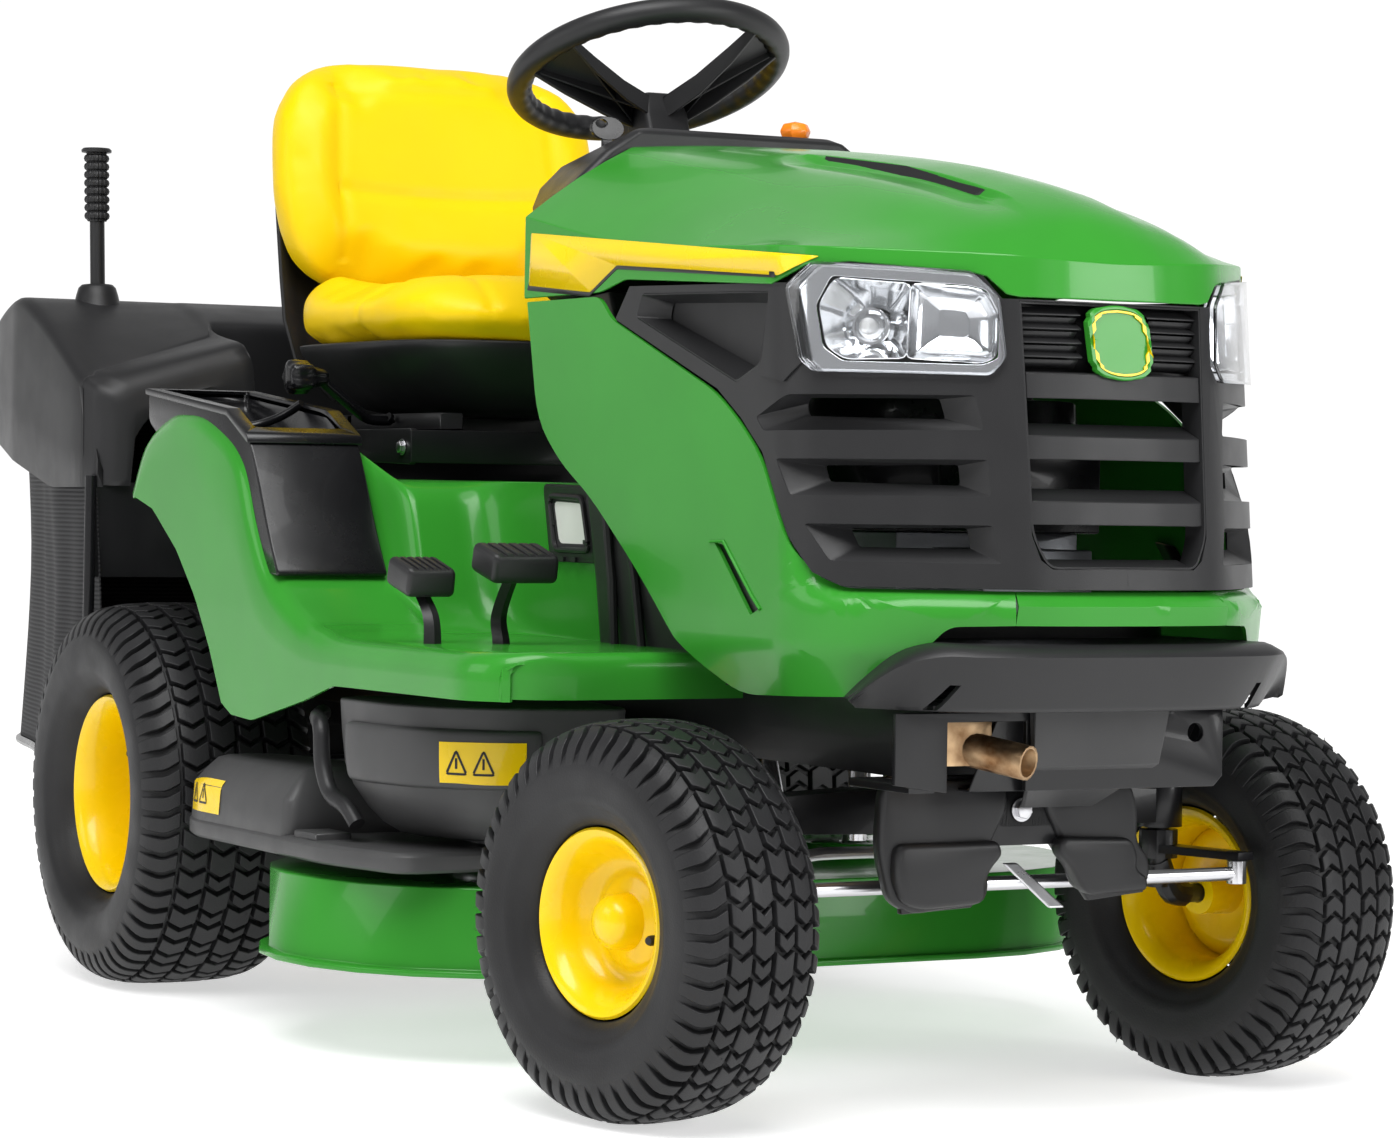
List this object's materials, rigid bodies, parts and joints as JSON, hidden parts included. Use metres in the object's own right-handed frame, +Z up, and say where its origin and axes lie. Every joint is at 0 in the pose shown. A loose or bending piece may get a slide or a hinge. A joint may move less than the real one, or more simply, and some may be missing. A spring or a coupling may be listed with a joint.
{
  "type": "riding lawn mower",
  "caption": "Ride-on lawn tractor with tilting hood, steered front axle, mid-mounted cutter deck, sprung seat and a rear grass hopper that tips to empty.",
  "frame": {"origin": "centre of the footprint's bounding box, on the ground", "axes": "+Z up, the front of the machine faces -Y, its left side is +X"},
  "size_m": [0.97, 2.24, 1.139],
  "materials": {
    "green_paint": "gloss",
    "yellow_paint": "gloss",
    "black_gloss": "semi-gloss, fine grain",
    "black_plastic": "fine grained texture",
    "frame_paint": "satin black",
    "tyre_rubber": "matt, moulded tread",
    "zinc_steel": "zinc plated",
    "cast_metal": "as cast",
    "hot_steel": "heat tinted",
    "lens": "clear, faceted",
    "seat_vinyl": "smooth vinyl, low sheen",
    "mesh_fabric": "woven mesh",
    "tank_plastic": "translucent white",
    "orange_plastic": "gloss"
  },
  "bodies": {
    "chassis": {"frame": "frame_paint", "front_plate": "frame_paint", "front_bumper": "black_plastic", "engine_block": "cast_metal", "engine_shroud": "black_gloss", "muffler": "hot_steel", "heat_deflector": "frame_paint", "transaxle": "cast_metal", "grass_chute": "black_gloss", "battery": "black_gloss", "fuel_tank": "tank_plastic", "fender_deck": "green_paint", "storage_box": "black_gloss", "dash_tower": "black_plastic", "dash_console": "black_plastic", "fuel_window": "tank_plastic"},
    "hood": {"hood_top": "green_paint", "side_panel_right": "green_paint", "side_panel_left": "green_paint", "nose_panel": "green_paint", "grille": "black_plastic", "headlight_right": "lens", "headlight_left": "lens", "badge": "green_paint"},
    "axle": {"front_axle_beam": "frame_paint"},
    "knuckle_right": {"steering_knuckle_right": "frame_paint"},
    "knuckle_left": {"steering_knuckle_left": "frame_paint"},
    "tie_rod": {"tie_rod": "zinc_steel"},
    "drag_link": {"drag_link": "zinc_steel"},
    "sector": {"steering_sector": "zinc_steel"},
    "steering": {"steering_wheel": "black_gloss", "steering_shaft": "zinc_steel"},
    "front_wheel_right": {"front_tyre_right": "tyre_rubber", "front_rim_right": "yellow_paint"},
    "front_wheel_left": {"front_tyre_left": "tyre_rubber", "front_rim_left": "yellow_paint"},
    "rear_wheel_right": {"rear_tyre_right": "tyre_rubber", "rear_rim_right": "yellow_paint"},
    "rear_wheel_left": {"rear_tyre_left": "tyre_rubber", "rear_rim_left": "yellow_paint"},
    "deck": {"mower_deck": "green_paint", "belt_housing": "black_plastic", "belt_cover": "black_plastic"},
    "blade_right": {"blade_right": "zinc_steel"},
    "blade_left": {"blade_left": "zinc_steel"},
    "seat_base": {"seat_hinge_plate": "frame_paint"},
    "seat": {"seat_pan": "black_gloss", "seat_cushion": "seat_vinyl", "seat_backrest": "seat_vinyl", "seat_latch": "black_gloss"},
    "forward_pedal": {"forward_pedal": "black_gloss"},
    "reverse_pedal": {"reverse_pedal": "black_gloss"},
    "brake_pedal": {"brake_pedal": "black_gloss"},
    "blade_switch": {"blade_switch_knob": "orange_plastic"},
    "key": {"ignition_key": "black_gloss"},
    "throttle": {"throttle_lever": "black_gloss"},
    "height_lever": {"height_lever": "black_gloss"},
    "hopper": {"hopper_bag": "mesh_fabric", "hopper_cover": "black_plastic"},
    "dump_lever": {"dump_lever": "black_gloss"}
  },
  "joints": [
    {"name": "hood_tilt", "type": "hinge", "parent": "chassis", "child": "hood", "pos_m": [0, -1.091, 0.474], "axis": [1, 0, 0], "range_deg": [0, 70]},
    {"name": "steering_turn", "type": "hinge", "parent": "chassis", "child": "steering", "pos_m": [0, -0.127, 1.071], "axis": [0, 0.3697, 0.9291], "range_deg": [-376, 184]},
    {"name": "sector_turn", "type": "hinge", "parent": "chassis", "child": "sector", "pos_m": [0, -0.615, 0.255], "axis": [0, 0, 1], "range_deg": [-47, 23]},
    {"name": "axle_pivot", "type": "hinge", "parent": "chassis", "child": "axle", "pos_m": [0, -0.788, 0.285], "axis": [0, 1, 0], "range_deg": [-3.5, 3.5]},
    {"name": "knuckle_right_turn", "type": "hinge", "parent": "axle", "child": "knuckle_right", "pos_m": [-0.255, -0.788, 0.26], "axis": [0, 0, 1], "range_deg": [-47, 23]},
    {"name": "knuckle_left_turn", "type": "hinge", "parent": "axle", "child": "knuckle_left", "pos_m": [0.255, -0.788, 0.26], "axis": [0, 0, 1], "range_deg": [-47, 23]},
    {"name": "tie_rod_pivot", "type": "hinge", "parent": "knuckle_right", "child": "tie_rod", "pos_m": [-0.23275, -0.89266, 0.222], "axis": [0, 0, 1], "range_deg": [-23, 47]},
    {"name": "drag_link_pivot", "type": "hinge", "parent": "knuckle_right", "child": "drag_link", "pos_m": [-0.23275, -0.89266, 0.253], "axis": [0, 0, 1], "range_deg": [-23, 47]},
    {"name": "front_wheel_right_spin", "type": "hinge", "parent": "knuckle_right", "child": "front_wheel_right", "pos_m": [-0.34792, -0.80775, 0.1905], "axis": [0.9781, 0.2079, 0], "continuous": true},
    {"name": "front_wheel_left_spin", "type": "hinge", "parent": "knuckle_left", "child": "front_wheel_left", "pos_m": [0.34792, -0.76825, 0.1905], "axis": [0.9781, 0.2079, 0], "continuous": true},
    {"name": "rear_wheel_right_spin", "type": "hinge", "parent": "chassis", "child": "rear_wheel_right", "pos_m": [-0.378, 0.358, 0.227], "axis": [1, 0, 0], "continuous": true},
    {"name": "rear_wheel_left_spin", "type": "hinge", "parent": "chassis", "child": "rear_wheel_left", "pos_m": [0.378, 0.358, 0.227], "axis": [1, 0, 0], "continuous": true},
    {"name": "height_lever_turn", "type": "hinge", "parent": "chassis", "child": "height_lever", "pos_m": [0.359, 0.189, 0.468], "axis": [1, 0, 0], "range_deg": [0, 16]},
    {"name": "deck_lift", "type": "slide", "parent": "chassis", "child": "deck", "axis": [0, 0, 1], "range_m": [-0.066, 0]},
    {"name": "blade_right_spin", "type": "hinge", "parent": "deck", "child": "blade_right", "pos_m": [-0.222, -0.237, 0.13], "axis": [0, 0, 1], "continuous": true},
    {"name": "blade_left_spin", "type": "hinge", "parent": "deck", "child": "blade_left", "pos_m": [0.222, -0.237, 0.13], "axis": [0, 0, 1], "continuous": true},
    {"name": "seat_tilt", "type": "hinge", "parent": "chassis", "child": "seat_base", "pos_m": [0, 0.07, 0.648], "axis": [1, 0, 0], "range_deg": [0, 40]},
    {"name": "seat_slide", "type": "slide", "parent": "seat_base", "child": "seat", "axis": [0, 1, 0], "range_m": [-0.06, 0.04]},
    {"name": "forward_pedal_press", "type": "hinge", "parent": "chassis", "child": "forward_pedal", "pos_m": [-0.32, -0.429, 0.404], "axis": [1, 0, 0], "range_deg": [0, 18], "stiffness_Nm_per_rad": 20, "springref_deg": -11.46},
    {"name": "reverse_pedal_press", "type": "hinge", "parent": "chassis", "child": "reverse_pedal", "pos_m": [-0.394, -0.421, 0.404], "axis": [1, 0, 0], "range_deg": [0, 18], "stiffness_Nm_per_rad": 20, "springref_deg": -11.46},
    {"name": "brake_pedal_press", "type": "hinge", "parent": "chassis", "child": "brake_pedal", "pos_m": [0.326, -0.429, 0.404], "axis": [1, 0, 0], "range_deg": [0, 18], "stiffness_Nm_per_rad": 30, "springref_deg": -11.46},
    {"name": "blade_switch_pull", "type": "slide", "parent": "chassis", "child": "blade_switch", "axis": [0, 0, 1], "range_m": [0, 0.012]},
    {"name": "key_turn", "type": "hinge", "parent": "chassis", "child": "key", "pos_m": [-0.112, -0.245, 0.96], "axis": [0, 0, 1], "range_deg": [0, 80]},
    {"name": "throttle_turn", "type": "hinge", "parent": "chassis", "child": "throttle", "pos_m": [0.078, -0.215, 0.905], "axis": [1, 0, 0], "range_deg": [-12, 12]},
    {"name": "hopper_dump", "type": "hinge", "parent": "chassis", "child": "hopper", "pos_m": [0, 0.635, 0.7], "axis": [1, 0, 0], "range_deg": [0, 70]},
    {"name": "dump_lever_extend", "type": "slide", "parent": "hopper", "child": "dump_lever", "axis": [0, 0.0626, 0.998], "range_m": [0, 0.14]}
  ],
  "couplings": [
    {"joint": "sector_turn", "follows": "steering_turn", "ratio": 0.125},
    {"joint": "knuckle_right_turn", "follows": "steering_turn", "ratio": 0.125},
    {"joint": "knuckle_left_turn", "follows": "steering_turn", "ratio": 0.125},
    {"joint": "tie_rod_pivot", "follows": "steering_turn", "ratio": -0.125},
    {"joint": "drag_link_pivot", "follows": "steering_turn", "ratio": -0.125},
    {"joint": "deck_lift", "follows": "height_lever_turn", "m_per_rad": -0.2328},
    {"joint": "blade_left_spin", "follows": "blade_right_spin", "ratio": -1}
  ]
}
